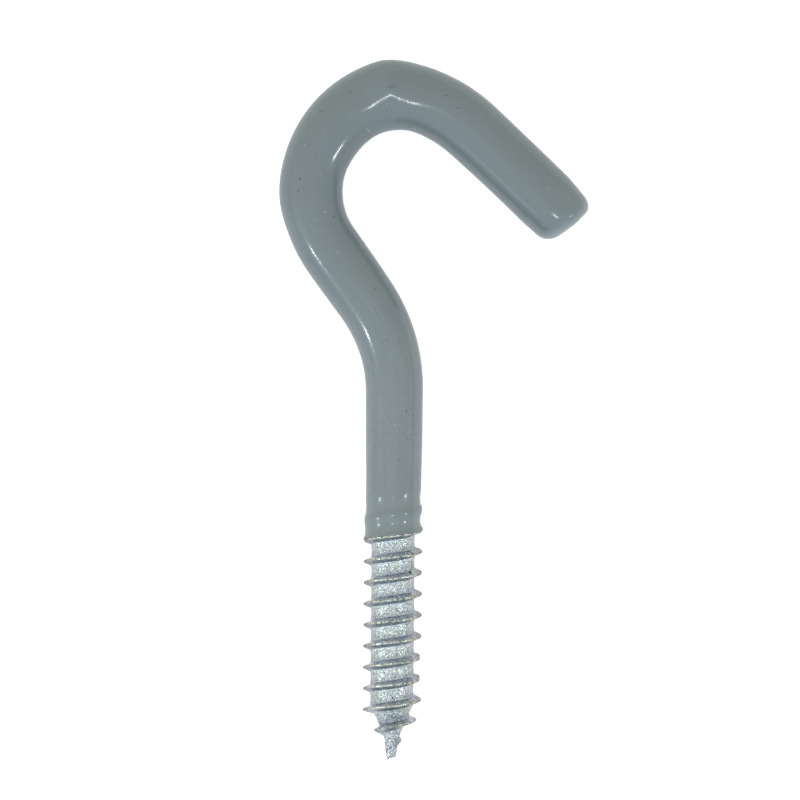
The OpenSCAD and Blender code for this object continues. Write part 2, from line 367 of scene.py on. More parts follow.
# %% [markdown]
# Now every point of the plain tube gets its place. Its distance along the wire and its angle
# give its radius. Near the cuff, the rings climb with the edge, and above it they come level.

# %% Move every point of the skin to its place
CLIMB_TO, CUFF_TO = 5.4, 7  # mm up to which the rings climb, and the cuff's shape is used


def lay_skin():
    """Place the skin's points, and return where each would be round a straight wire, in mm."""
    s, a = skin_s, skin_a
    turned = (a - math.pi / 2 + math.pi) % (2 * math.pi) - math.pi
    near_edge = s < CLIMB_TO
    follow = 1 - ease((s - PITCH) / (CLIMB_TO - PITCH))
    height = s + np.where(near_edge, follow * edge_height(turned), 0)
    r = skin_radius(height, a)
    r = np.where(near_edge | (height < CUFF_TO), cuff_radius(s, height, turned, r), r)
    inwards, along = rim(s, a)
    r = r - inwards
    slant = ease((s - (skin_end - TAPER_L)) / TAPER_L) * r * np.cos(a) * math.tan(SLANT)
    points = np.empty((len(s), 3))
    far = height + along + slant
    for i, (v, angle, radius) in enumerate(zip(far, a, r)):
        centre, h = place(v)
        if v < 0:
            centre = np.array([0.0, v])
        points[i] = (centre[0] - radius * math.cos(angle) * math.sin(h),
                     centre[1] + radius * math.cos(angle) * math.cos(h),
                     radius * math.sin(angle))
    skin.data.vertices.foreach_set("co", (points * MM).ravel())
    skin.data.update()
    return np.stack([r * np.cos(a), r * np.sin(a), far], 1)


straightened = lay_skin()
corners = [points_of(skin).min(0), points_of(skin).max(0)]
print("skin's box in mm:", [corner.round(2).tolist() for corner in corners])

# %% [markdown]
# ## Closing the skin
# The tube is open at both ends. At the free end the last ring is drawn in twice, a little
# further out each time, so the end face is slightly domed. At the cuff the edge turns in under
# itself until it is inside the steel, so no gap can open between skin and crest. Each point also
# keeps where it was on the straight wire, for streaks in the vinyl that follow the bends. One
# level of Subdivision Surface then rounds the facets.

# %% Close both ends and smooth the skin
TURN_IN = 0.9  # the edge turns in to this share of its radius
DOME = ((0.7, 0.04), (0.45, 0.02))  # share of its size the end ring is drawn in to, mm it moves


def pick(obj, keep):
    """In edit mode, select only the points whose index is in keep."""
    bpy.ops.mesh.select_all(action="DESELECT")
    bpy.ops.mesh.select_mode(type="VERT")
    mesh = bmesh.from_edit_mesh(obj.data)
    mesh.verts.ensure_lookup_table()
    for i in keep:
        mesh.verts[i].select = True
    mesh.select_flush(True)
    bmesh.update_edit_mesh(obj.data)


edge_ring = np.nonzero(skin_s < NEAR)[0]
end_ring = np.nonzero(skin_s > skin_end - NEAR)[0]
bpy.ops.object.mode_set(mode="EDIT")
pick(skin, edge_ring.tolist())
bpy.ops.mesh.extrude_region_move()
bpy.ops.transform.resize(value=(TURN_IN, 1, TURN_IN), center_override=(0, 0, 0))
bpy.ops.mesh.edge_face_add()
pick(skin, end_ring.tolist())
end_centre, end_heading = place(skin_end)
dome = Vector((math.cos(end_heading), math.sin(end_heading), 0)) * MM
middle = Vector((end_centre[0], end_centre[1], 0)) * MM
for share, out in DOME:
    bpy.ops.mesh.extrude_region_move(TRANSFORM_OT_translate={"value": dome * out})
    bpy.ops.transform.resize(value=(share, share, share), center_override=middle)
bpy.ops.mesh.edge_face_add()
bpy.ops.mesh.poke()
bpy.ops.mesh.select_all(action="SELECT")
bpy.ops.mesh.normals_make_consistent(inside=False)
bpy.ops.object.mode_set(mode="OBJECT")


def apply(obj, kind, **settings):
    """Add a modifier with its settings to obj and apply it."""
    bpy.ops.object.select_all(action="DESELECT")
    obj.select_set(True)
    bpy.context.view_layer.objects.active = obj
    modifier = obj.modifiers.new(kind.lower(), kind)
    for name, value in settings.items():
        setattr(modifier, name, value)
    bpy.ops.object.modifier_apply(modifier=modifier.name)


added = points_of(skin)[len(straightened):]
at_cuff = added[:, 1] < CLIMB_TO
side_of_end = (added[:, :2] - end_centre) @ [-math.sin(end_heading), math.cos(end_heading)]
added_straight = np.stack([np.where(at_cuff, -added[:, 0], side_of_end), added[:, 2],
                           np.where(at_cuff, 0, skin_end)], 1)
straight = skin.data.attributes.new("straight", "FLOAT_VECTOR", "POINT")
straight.data.foreach_set("vector", (np.concatenate([straightened, added_straight]) * MM).ravel())
apply(skin, "SUBSURF", levels=1, render_levels=1)
bpy.ops.object.shade_smooth()
print("skin:", len(skin.data.vertices), "points,", len(skin.data.polygons), "faces")

# %% [markdown]
# ## One pitch of the thread, swept along a helix
# A rolled wood thread is one short outline, repeated: a slightly hollow root, a flank up, a
# narrow crest and a flank down. The outline is extruded point by point, and its corners are
# bevelled, since rolling leaves fillets at the foot and a blunt crest. The Screw modifier turns
# it round the axis and moves it on by one pitch for each turn, so the thread is truly helical.

# %% Outline of one pitch
ROOT_R, CREST_R, WIRE_R, DIP = 2.92, 3.9, 3.175, 0.07
FLANK = math.tan(math.radians(21.5))
CREST_W, FOOT_FILLET, CREST_FILLET = 0.27, 0.15, 0.09
foot = CREST_W / 2 + (CREST_R - ROOT_R) * FLANK
mid_root = (foot + PITCH / 2) / 2
FIRST_TURN, TURNS = -12, 15
outline = [(-PITCH / 2, ROOT_R - DIP), (-mid_root, ROOT_R - DIP * 0.75), (-foot, ROOT_R),
           (-CREST_W / 2, CREST_R), (CREST_W / 2, CREST_R), (foot, ROOT_R),
           (mid_root, ROOT_R - DIP * 0.75), (PITCH / 2, ROOT_R - DIP)]
bpy.ops.mesh.primitive_plane_add(size=MM, location=(0, 0, 0))
screw = bpy.context.object
screw.name = "zinc_screw"
bpy.ops.object.mode_set(mode="EDIT")
bpy.ops.mesh.merge(type="CENTER")
here = Vector((0, 0, 0))
for i, (height, radius) in enumerate(outline):
    there = Vector((0, FIRST_TURN * PITCH + height, radius)) * MM
    if i == 0:
        bpy.ops.transform.translate(value=there)
    else:
        bpy.ops.mesh.extrude_vertices_move(TRANSFORM_OT_translate={"value": there - here})
    here = there
pick(screw, [2, 5])
bpy.ops.mesh.bevel(offset=FOOT_FILLET * MM, segments=4, affect="VERTICES")
mesh = bmesh.from_edit_mesh(screw.data)
crest = [v.index for v in mesh.verts if v.co.z > (CREST_R - 0.001) * MM]
pick(screw, crest)
bpy.ops.mesh.bevel(offset=CREST_FILLET * MM, segments=3, affect="VERTICES")
bpy.ops.object.mode_set(mode="OBJECT")
print("outline points:", len(screw.data.vertices))

# %% Sweep the outline
apply(screw, "SCREW", axis="Y", angle=2 * math.pi, screw_offset=PITCH * MM, iterations=TURNS,
      steps=96, render_steps=96, use_merge_vertices=True, merge_threshold=0.002 * MM,
      use_normal_calculate=True)
co = points_of(screw)
print("thread points:", len(co), "from", co[:, 1].min().round(2), "mm up")

# %% [markdown]
# ## From an endless thread to a screw
# The swept thread has one size from end to end. A real one fades out where the wire begins,
# and its crests and its root both draw in to the point. Each point of the mesh knows how far
# up the flank it is, so the body and the crests can be given new radii at every height. Rolled
# crests are also worn and nicked, so a little noise is added there, and at two places on the
# right the metal folded over in the dies and left a blunt, thick lap.

# %% Taper, fade and wear
TIP_Y, POINT_L, NIB_L, NIB_R, TIP_R = -29.95, 7.35, 2.95, 1.0, 0.62
BARE_NIB_L, CREST_TAPER_L, RUNOUT_Y, RUNOUT_L = 1.35, 6.15, PITCH / 4, 3.4
BODY = np.array([  # height and radius at the root
    (TIP_Y - 9, TIP_R), (TIP_Y, TIP_R), (TIP_Y + NIB_L, NIB_R), (TIP_Y + POINT_L, ROOT_R),
    (RUNOUT_Y, ROOT_R), (RUNOUT_Y + RUNOUT_L, WIRE_R), (20, WIRE_R)])
CRESTS = np.array([  # height and radius over the crests
    (TIP_Y + BARE_NIB_L, 0.5), (TIP_Y + CREST_TAPER_L, CREST_R), (RUNOUT_Y, CREST_R),
    (RUNOUT_Y + RUNOUT_L, WIRE_R - 0.1)])
LAPS, LAP_ANGLE = (-16.2, -19.05), 90  # heights of the laps, and their angle from the top
LAP_TURN, LAP_L, LAP = 24, 0.9, 0.2  # degrees and mm that a lap spreads, and its depth
WEAR_MM, NICK_MM, SWAY_MM, WEAR_MOST = 0.05, 0.035, 0.04, 0.02


def wander_of(points, per_mm, start):
    """Smooth noise at every point, in waves of about 1 / per_mm millimetres."""
    return np.array([noise.noise(Vector(p) * per_mm + Vector(start)) for p in points])


radius = np.hypot(co[:, 0], co[:, 2])
turn = np.arctan2(co[:, 0], co[:, 2])
lift = np.clip((radius - ROOT_R) / (CREST_R - ROOT_R), -1, 1)
height = co[:, 1]
body = np.interp(height, BODY[:, 0], BODY[:, 1])
crests = np.maximum(np.interp(height, CRESTS[:, 0], CRESTS[:, 1]), body)
wear = wander_of(co, 0.9, (0, 0, 0)) * WEAR_MM + wander_of(co, 3.1, (9, 9, 9)) * NICK_MM
above_crest = (height - PITCH * turn / (2 * math.pi) + PITCH / 2) % PITCH - PITCH / 2
round_lap = ((np.degrees(turn) - LAP_ANGLE) / LAP_TURN) ** 2
lapped = sum(np.exp(-round_lap - ((height - y) / LAP_L) ** 2) for y in LAPS)
new_r = body + lift * (crests - body + np.minimum(wear, WEAR_MOST) - LAP * lapped)
co[:, 0], co[:, 2] = new_r * np.sin(turn), new_r * np.cos(turn)
co[:, 1] += np.sign(above_crest) * lift * LAP * lapped
co[:, 1] += lift * SWAY_MM * wander_of(co, 1.4, (0, 0, 30))
screw.data.vertices.foreach_set("co", (co * MM).ravel())
screw.data.update()
print("crests after wear, mm:", new_r[lift > 0.99][::400].round(2)[:6])

# %% [markdown]
# ## Cutting the screw to length, and the rest of the wire
# Bisect cuts the helix square, below at the tip and above where the wire is plain again. The
# open ring at the upper cut is then carried along the hook inside the vinyl, as the skin was,
# so the steel is one piece from point to cut end. The ring at the tip is drawn in, step by
# step, to a flat end.

# %% Cut, close the tip and carry the wire round the hook
WIRE_FROM = 6.0  # mm above the vinyl's edge, where the wire is plain
TIP_SHARES = (0.85, 0.8, 0.7, 0.6, 0.4)  # each ring at the tip is this share of the last
bpy.ops.object.mode_set(mode="EDIT")
bpy.ops.mesh.select_all(action="SELECT")
bpy.ops.mesh.remove_doubles(threshold=0.003 * MM)
bpy.ops.mesh.select_all(action="SELECT")
bpy.ops.mesh.bisect(plane_co=(0, TIP_Y * MM, 0), plane_no=(0, 1, 0), clear_inner=True,
                    threshold=0.001 * MM)
bpy.ops.mesh.remove_doubles(threshold=0.005 * MM)
for share in TIP_SHARES:
    bpy.ops.mesh.extrude_region_move()
    bpy.ops.transform.resize(value=(share, 1, share), center_override=(0, TIP_Y * MM, 0))
bpy.ops.mesh.merge(type="CENTER")
bpy.ops.mesh.select_all(action="SELECT")
bpy.ops.mesh.bisect(plane_co=(0, WIRE_FROM * MM, 0), plane_no=(0, 1, 0), clear_outer=True,
                    threshold=0.001 * MM)
bpy.ops.mesh.remove_doubles(threshold=0.005 * MM)
WIRE_STEPS = [(19.1, 4.0), (92.0, 1.4), (200.0, 4.0)]
sweep(WIRE_FROM, wire_end, WIRE_STEPS)
bpy.ops.mesh.edge_face_add()
bpy.ops.mesh.poke()
bpy.ops.object.mode_set(mode="OBJECT")


def open_edges(obj):
    """How many edges don't have exactly two faces."""
    mesh = bmesh.new()
    mesh.from_mesh(obj.data)
    count = sum(not edge.is_manifold for edge in mesh.edges)
    mesh.free()
    return count


print("steel:", len(screw.data.polygons), "faces, open edges:", open_edges(screw))

# %% [markdown]
# ## The broken point
# A rolled point ends where the blank was pinched off, and it isn't a clean cone: three small
# burrs are left with notches between them. The points near the tip are raised by a height that
# is least under each burr.

# %% Burrs at the tip
BURRS = [(-0.44, 0.05, 0.0), (0.02, 0.2, 0.24), (0.42, 0.1, 0.34)]  # place, and how much shorter
BURR_L, BURR_STEEP, BURR_LONG, NOTCH = 1.3, 4.5, 0.5, 0.6
co = points_of(screw)
near_tip = ease((TIP_Y + BURR_L - co[:, 1]) / BURR_L)
raised = np.min([up + BURR_STEEP * ((co[:, 0] - x) ** 2 + BURR_LONG * (co[:, 2] - z) ** 2)
                 for x, z, up in BURRS], axis=0)
co[:, 1] += near_tip * np.minimum(raised, NOTCH)
screw.data.vertices.foreach_set("co", (co * MM).ravel())
bpy.ops.object.mode_set(mode="EDIT")
bpy.ops.mesh.select_all(action="SELECT")
bpy.ops.mesh.normals_make_consistent(inside=False)
bpy.ops.object.mode_set(mode="OBJECT")
bpy.ops.object.select_all(action="DESELECT")
screw.select_set(True)
bpy.context.view_layer.objects.active = screw
bpy.ops.object.shade_smooth_by_angle(angle=math.radians(60))
print("tip at", float(points_of(screw)[:, 1].min().round(2)), "mm")

# %% [markdown]
# ## Materials
# One function turns a colour written as sRGB hex into the linear value that Blender mixes, and
# one adds a node with its settings and inputs. Inputs are given in the order that the node shows
# them, so those of Map Range are its value, from min, from max, to min and to max. Where a
# whole node is given, the output that its settings leave in use is linked.

# %% Colour and node helpers
def colour(code):
    """Linear RGBA of an sRGB hex colour."""
    parts = [int(code[i:i + 2], 16) / 255 for i in (1, 3, 5)]
    return tuple(c / 12.92 if c <= 0.04045 else ((c + 0.055) / 1.055) ** 2.4 for c in parts) + (1,)


def add(kind, *inputs, named=None, **settings):
    """Add a shader node to the tree in hand. An input that is a node or a socket is linked,
    and any other is set."""
    node = tree.nodes.new("ShaderNode" + kind)
    for name, value in settings.items():
        setattr(node, name, value)
    given = list(zip([socket for socket in node.inputs if socket.enabled], inputs))
    given += [(node.inputs[name], value) for name, value in (named or {}).items()]
    for socket, value in given:
        if isinstance(value, bpy.types.Node):
            value = next(output for output in value.outputs if output.enabled)
        if isinstance(value, bpy.types.NodeSocket):
            tree.links.new(value, socket)
        else:
            socket.default_value = value
    return node


def new_material(name):
    material = bpy.data.materials.new(name)
    material.use_nodes = True
    material.node_tree.nodes.clear()
    return material, material.node_tree


print("a middle grey is", round(colour("#808080")[0], 3), "when it is linear")

# %% [markdown]
# ### Plastisol PVC
# The skin is plastisol: PVC powder in plasticiser, fused on the hot wire. It is glossy but not
# polished, with a slow ripple where it ran and faint streaks along the wire. A fine grain
# breaks up its highlights on the crown. The patterns come first. All but the streaks are noise
# in the object's own space. The streaks lie in the space of the straight wire, and are drawn
# out twenty times along it, so that they follow the bends.

# %% Vinyl: its patterns
GRAIN_MM, RIPPLE_MM, CLOUD_MM, STREAK_MM, MOTTLE_MM = 0.3, 3.0, 6.0, 0.7, 0.8
DRAWN_OUT = 20
vinyl, tree = new_material("plastisol_pvc_grey")
where = add("TexCoord").outputs["Object"]
straight_place = add("Attribute", attribute_name="straight").outputs["Vector"]
cloud = add("TexNoise", where, 1 / (CLOUD_MM * MM), 3.0)
ripple = add("TexNoise", where, 1 / (RIPPLE_MM * MM), 1.0)
grain = add("TexNoise", where, 1 / (GRAIN_MM * MM), 2.0)
mottle = add("TexNoise", where, 1 / (MOTTLE_MM * MM), 4.0, 0.7)
drawn = add("VectorMath", straight_place, (1, 1, 1 / DRAWN_OUT), operation="MULTIPLY")
streak = add("TexNoise", drawn, 1 / (STREAK_MM * MM), 2.0)
tube = add("SeparateXYZ", straight_place).outputs
on_shank = add("MapRange", tube["Z"], 28 * MM, 44 * MM, 1.0, 0.15)
print("vinyl nodes so far:", len(tree.nodes))

# %% [markdown]
# Where the skin is thin, the bright wire under it makes it a little lighter, and the thick crown
# is also painted darker, as painted shade for the weaker light that reaches it. So the first mix
# goes by the distance from the wire's middle. Clouds, streaks and a small mottle follow. The
# colours are all close to one blue-grey.

# %% Vinyl: its colour
off_middle = add("CombineXYZ", tube["X"], tube["Y"])
radius_here = add("VectorMath", off_middle, operation="LENGTH")
# Lighter where thin, from the wire under it; darker where thick, which is also painted shade on
# the crown.
thickness_and_shade = add("MapRange", radius_here, 3.6 * MM, 4.25 * MM)
base = add("Mix", thickness_and_shade, colour("#818B8A"), colour("#6F7A7A"), data_type="RGBA")
clouded = add("MapRange", cloud, 0.38, 0.62, 0, 0.35)
lined = add("MapRange", streak, 0.5, 0.75, 0, 0.25)
lined = add("Math", lined, on_shank, operation="MULTIPLY")
spotted = add("MapRange", mottle, 0.3, 0.7, 0, 0.3)
for share, code in ((clouded, "#6F7B80"), (lined, "#8B9697"), (spotted, "#667271")):
    base = add("Mix", share, base, colour(code), data_type="RGBA")
print("vinyl nodes so far:", len(tree.nodes))

# %% [markdown]
# A dipping bath is never clean. A few dark specks of grit stick in the skin, small bubbles
# leave pale pinholes, and there is a faint scratch on the shank. A patch at the drip is a
# little darker. Each has a place and a radius, because noise would strew them too evenly.

# %% Vinyl: specks, pinholes and a scratch
GRIT = [  # x, y and radius, in mm
    (-6.18, 58.8, 0.11), (-9.97, 56.24, 0.12), (-12.72, 47.22, 0.13), (-12.95, 45.58, 0.09),
    (1.75, 54.45, 0.1), (-10.67, 50.36, 0.08), (-8.21, 42.29, 0.1), (6.54, 58.46, 0.11),
    (8.07, 56.8, 0.12), (-2.69, 32.73, 0.08), (-2.67, 30.07, 0.08), (-1.17, 25.98, 0.09),
    (0.64, 10.16, 0.08), (1.64, 12.98, 0.09), (1.59, 16.56, 0.1), (-2.9, 18.16, 0.08),
    (0.13, 62.31, 0.08), (2.61, 17.8, 0.06), (2.22, 16.87, 0.07), (2.42, 16.08, 0.06),
    (1.71, 14.22, 0.06), (2.12, 12.83, 0.07)]
PINHOLES = [
    (-9.6, 53.71, 0.07), (-3.72, 53.71, 0.1), (-3.95, 54.0, 0.07), (-12.17, 51.76, 0.07),
    (-10.01, 47.89, 0.06), (-10.79, 41.78, 0.07), (-9.4, 42.89, 0.08), (14.92, 48.37, 0.07),
    (20.21, 46.3, 0.07), (-1.39, 57.06, 0.06), (-0.77, 57.23, 0.06), (-7.66, 37.55, 0.07),
    (0.08, 14.77, 0.08), (-1.29, 15.67, 0.06), (19.46, 41.49, 0.07)]
SCRATCH = [(1.38, 18.19, 0.05), (1.49, 18.45, 0.05), (1.59, 18.72, 0.06), (1.7, 18.99, 0.06),
           (1.8, 19.25, 0.05)]
DARKER_PATCHES = [(-0.93, 59.4, 0.42), (-0.4, 59.5, 0.3)]
FULL_TO, GONE_AT = 0.5, 1.3  # a spot is full to this share of its radius, and gone at that one


def dab(base, places, code, strength):
    """Lay small soft spots of a colour over base. Each place is (x, y, radius) in mm."""
    flat = add("VectorMath", where, (1, 1, 0), operation="MULTIPLY")
    for x, y, r in places:
        away = add("VectorMath", flat, (x * MM, y * MM, 0), operation="DISTANCE")
        dot = add("MapRange", away, r * FULL_TO * MM, r * GONE_AT * MM, strength, 0.0)
        base = add("Mix", dot, base, colour(code), data_type="RGBA")
    return base


# A patch at the drip is a little darker.
base = dab(base, DARKER_PATCHES, "#4C5654", 0.25)
base = dab(base, GRIT, "#2E3335", 0.8)
base = dab(base, PINHOLES, "#B4BDBB", 0.7)
base = dab(base, SCRATCH, "#A4ADAB", 0.6)
print("spots in the vinyl:", len(DARKER_PATCHES + GRIT + PINHOLES + SCRATCH))

# %% [markdown]
# Three bumps follow: the ripple, the streaks and the grain, which is strong only on the crown,
# where the skin is thickest. Under the free end, where the last of it drained, there is a thin
# seam. It is a narrow bell curve of the angle round the wire, which fades in and out along it.
# Its ridge is also painted paler, a painted highlight. Plasticised PVC has an IOR of about 1.53.

# %% Vinyl: its surface
SEAM_ANGLE, SEAM_W, SEAM_FROM, SEAM_TO = math.radians(126), 0.03, 77, 93.5
waves = add("Bump", named={"Height": ripple, "Distance": 0.05 * MM})
streaked = add("Math", streak, on_shank, operation="MULTIPLY")
drawn_out = add("Bump", named={"Height": streaked, "Distance": 0.006 * MM, "Normal": waves})
rises = add("MapRange", tube["Z"], 57 * MM, 61 * MM, 0.12)
falls = add("MapRange", tube["Z"], 80 * MM, 86 * MM, 1.0, 0.3)
coarse = add("Math", rises, falls, operation="MULTIPLY")
grained = add("Math", grain, coarse, operation="MULTIPLY")
fine = add("Bump", named={"Height": grained, "Distance": 0.005 * MM, "Normal": drawn_out})
angle = add("Math", tube["Y"], tube["X"], operation="ARCTAN2")
beside = add("Math", angle, SEAM_ANGLE, operation="SUBTRACT")
beside = add("Math", beside, 1 / SEAM_W, operation="MULTIPLY")
squared = add("Math", beside, beside, operation="MULTIPLY")
squared = add("Math", squared, -1, operation="MULTIPLY")
ridge = add("Math", squared, operation="EXPONENT")
starts = add("MapRange", tube["Z"], SEAM_FROM * MM, (SEAM_FROM + 5) * MM)
stops = add("MapRange", tube["Z"], SEAM_TO * MM, (SEAM_TO - 1.5) * MM)
stretch = add("Math", starts, stops, operation="MULTIPLY")
ridge = add("Math", ridge, stretch, operation="MULTIPLY")
seam = add("Bump", named={"Height": ridge, "Distance": 0.02 * MM, "Normal": fine})
# Painted highlight: the seam's ridge is painted paler.
painted_seam_highlight = add("Math", ridge, 0.25, operation="MULTIPLY")
base = add("Mix", painted_seam_highlight, base, colour("#A5B0AE"), data_type="RGBA")
shader = add("BsdfPrincipled", named={"Base Color": base, "Roughness": 0.155, "IOR": 1.53,
                                      "Normal": seam})
add("OutputMaterial", shader)
skin.data.materials.append(vinyl)
print("vinyl nodes:", len(tree.nodes))

# %% [markdown]
# ### Bright zinc plate
# Electroplated zinc over rolled wire is a silvery metal with a crinkled, crystalline mottle a
# few tenths of a millimetre across, so that a lamp's highlight breaks into glints. Its shades
# across the thread are painted light and shade: pale in the root, painted greyer on the lower
# flank and the lower part of the root, painted near white on the upper flank with a painted dark
# line at its foot, and pale on the crest. The thread's own phase says where on it a point lies.
# It is worked out from the height and the angle round the axis, runs from 0 at one root to 1 at
# the next, and is 0.5 at the crest.

# %% Zinc: its patterns and the thread's phase
CRINKLE_MM, TINT_MM = 0.42, 1.1
WANDER = 0.06  # how far the edges of the shades wander, as a share of the pitch
zinc, tree = new_material("zinc_plate_bright")
where = add("TexCoord").outputs["Object"]
crinkle = add("TexNoise", where, 1 / (CRINKLE_MM * MM), 2.5, 0.6, 2.0, 0.6)
tint = add("TexNoise", where, 1 / (TINT_MM * MM), 2.0)
across = add("SeparateXYZ", where).outputs
turned = add("Math", across["X"], across["Z"], operation="ARCTAN2")
behind = add("Math", turned, -PITCH * MM / (2 * math.pi), operation="MULTIPLY")
phase = add("Math", across["Y"], behind, operation="ADD")
phase = add("Math", phase, PITCH / 2 * MM, -PITCH / 2 * MM, operation="WRAP")
phase = add("Math", phase, 1 / (PITCH * MM), 0.5, operation="MULTIPLY_ADD")
from_crest = add("Math", phase, 0.5, operation="SUBTRACT")
from_crest = add("Math", from_crest, operation="ABSOLUTE")
wander = add("Math", tint, 0.5, operation="SUBTRACT")
phase = add("Math", wander, WANDER, phase, operation="MULTIPLY_ADD")
print("zinc nodes so far:", len(tree.nodes))

# %% [markdown]
# A colour ramp over the phase paints these shades of light and shade. Below the last turn it
# fades to the colour of the root. A slow tint, faintly warm in one place and cool in the next, is
# multiplied in.

# %% Zinc: painted light and shade from root to crest
ROOT_CODE = "#D4DBDA"
# Painted light and shade: greyer on the lower flank and low in the root, near white up the upper
# flank, with a dark line at its foot.
PAINTED_LIGHT_ZONES = [  # share of one pitch from the root below the crest to the root above it, and colour
    (0.285, ROOT_CODE), (0.325, "#B2BAC2"), (0.43, "#A6AEB6"), (0.45, "#CACCC4"),
    (0.555, "#CED0C8"), (0.575, "#F0F5FC"), (0.66, "#F4F8FD"), (0.68, "#A4AEBC"),
    (0.7, "#A4AEBC"), (0.72, "#BBC2C6"), (0.85, "#C2C9CC"), (0.99, ROOT_CODE)]
painted_light_zones = add("ValToRGB", phase)
for stop, code in PAINTED_LIGHT_ZONES:
    painted_light_zones.color_ramp.elements.new(stop).color = colour(code)
for edge in (0, -1):
    painted_light_zones.color_ramp.elements[edge].color = colour(ROOT_CODE)
threaded = add("MapRange", across["Y"], (TIP_Y + 2) * MM, (TIP_Y + 4) * MM)
base = add("Mix", threaded, colour(ROOT_CODE), painted_light_zones, data_type="RGBA")
warmth = add("MapRange", tint, 0.38, 0.62)
shift = add("Mix", warmth, colour("#F1F1F6"), colour("#F3F5EF"), data_type="RGBA")
base = add("Mix", 1.0, base, shift, data_type="RGBA", blend_type="MULTIPLY")
print("shades:", len(painted_light_zones.color_ramp.elements))

# %% [markdown]
# Dirt from rolling stays in the fine lines between the crystals, which are where the crinkle
# passes its middle value. It is thick in the root and on the ragged point, and the flanks were
# wiped clean of it. There dark blue-grey blotches are painted instead, as painted shade for the
# dark reflections of the flanks. The worn crests are bright in some places and still grimy in
# others.

# %% Zinc: dirt in the root, painted shade on the flanks, grime on the crests
ragged = add("MapRange", across["Y"], (TIP_Y + 8) * MM, (TIP_Y + 3) * MM)
line = add("Math", crinkle, 0.5, operation="SUBTRACT")
line = add("Math", line, operation="ABSOLUTE")
in_root = add("MapRange", from_crest, 0.2, 0.27, 0.5)
unwiped = add("Math", in_root, 2.0, -1.0, operation="MULTIPLY_ADD")
at_point = add("Math", ragged, 0.9, operation="MULTIPLY")
unwiped = add("Math", unwiped, at_point, operation="MAXIMUM")
grimy = add("Math", ragged, 0.3, 0.85, operation="MULTIPLY_ADD")
grimy = add("Math", grimy, unwiped, operation="MULTIPLY")
dirt = add("MapRange", line, 0, 0.05, grimy, 0.0)
# Painted shade: dark blue-grey blotches on the flanks, standing in for their dark reflections.
flank_shade_blotches = add("MapRange", crinkle, 0.39, 0.46, 0.6, 0.0)
above_root = add("MapRange", from_crest, 0.24, 0.2)
off_crest = add("MapRange", from_crest, 0.05, 0.08)
on_flank = add("Math", above_root, off_crest, operation="MULTIPLY")
flank_shade_blotches = add("Math", flank_shade_blotches, on_flank, operation="MULTIPLY")
on_crest = add("MapRange", from_crest, 0.07, 0.04)
grimy_crest = add("MapRange", crinkle, 0.5, 0.58, 0, 0.75)
grimy_crest = add("Math", grimy_crest, on_crest, operation="MULTIPLY")
for share, code in ((dirt, "#4A5352"), (flank_shade_blotches, "#4F5C6B"), (grimy_crest, "#5C5B49")):
    base = add("Mix", share, base, colour(code), data_type="RGBA")
print("zinc nodes so far:", len(tree.nodes))

# %% [markdown]
# Both ends of the crests, as they are seen from above, have a patchy brown stain, scratched
# through along the crystals' lines. It is partly a stain and partly painted shade of the thread's
# sides: dark brown on the sides and painted lighter towards the crest itself. The outermost edge
# is painted dull, as painted shade. A few pits and oily spots have places of their own, and two
# dark spots between the burrs at the tip are painted shade in the notches.

# %% Zinc: stains with painted shade, scratches and pits
DARK_PITS_AND_NOTCH_SHADE = [  # x, y and radius, in mm
    (2.36, -3.4, 0.08), (2.45, -3.65, 0.07), (2.5, -3.95, 0.08), (2.46, -4.2, 0.07),
    (2.4, -4.45, 0.09), (2.27, -4.8, 0.2), (1.76, -22.6, 0.18), (0.08, -21.5, 0.13),
    # the last two, between the burrs at the tip, are painted shade in the notches
    (-0.2, -29.5, 0.1), (0.2, -29.4, 0.09)]
OILY = [(-0.1, -23.7, 0.7), (0.45, -24.2, 0.6), (-0.2, -8.0, 0.4), (0.9, -16.9, 0.5)]
# Partly painted shade: a brown stain on the thread's sides as seen from above, painted lighter
# towards the crest.
right_end = add("MapRange", across["X"], 2.7 * MM, 3.4 * MM)
left_end = add("MapRange", across["X"], -2.9 * MM, -3.6 * MM)
stained_and_shaded = add("Math", right_end, left_end, operation="ADD")
patchy = add("MapRange", crinkle, 0.42, 0.58, 0.3, 0.9)
stained_and_shaded = add("Math", stained_and_shaded, patchy, operation="MULTIPLY")
lighter_towards_crest = add("MapRange", from_crest, 0.13, 0.04)
stain_and_side_shade = add("Mix", lighter_towards_crest, colour("#74674E"), colour("#C2BAA2"), data_type="RGBA")
base = add("Mix", stained_and_shaded, base, stain_and_side_shade, data_type="RGBA")
scratched = add("MapRange", line, 0.03, 0.1, 0.85, 0.0)
scratched = add("Math", scratched, stained_and_shaded, operation="MULTIPLY")
base = add("Mix", scratched, base, colour("#5E5646"), data_type="RGBA")
to_the_side = add("Math", across["X"], operation="ABSOLUTE")
# Painted shade: the outermost edge of the crests is painted dull and dark.
painted_edge_shade = add("MapRange", to_the_side, 3.2 * MM, 3.8 * MM, 0, 0.7)
painted_edge_shade = add("Math", painted_edge_shade, on_crest, operation="MULTIPLY")
base = add("Mix", painted_edge_shade, base, colour("#66645A"), data_type="RGBA")
speckled = add("MapRange", crinkle, 0.46, 0.56, 0.4, 0.0)
base = dab(base, OILY, "#55573F", speckled)
# Dark pits, and painted shade in the notches between the burrs at the tip.
base = dab(base, DARK_PITS_AND_NOTCH_SHADE, "#1E2220", 0.95)
print("pits and oily spots:", len(DARK_PITS_AND_NOTCH_SHADE + OILY))

# %% [markdown]
# The crinkle is also what the light catches, so it sets the roughness and the bump. The bump is
# deeper in the root, on the stains and on the ragged point.

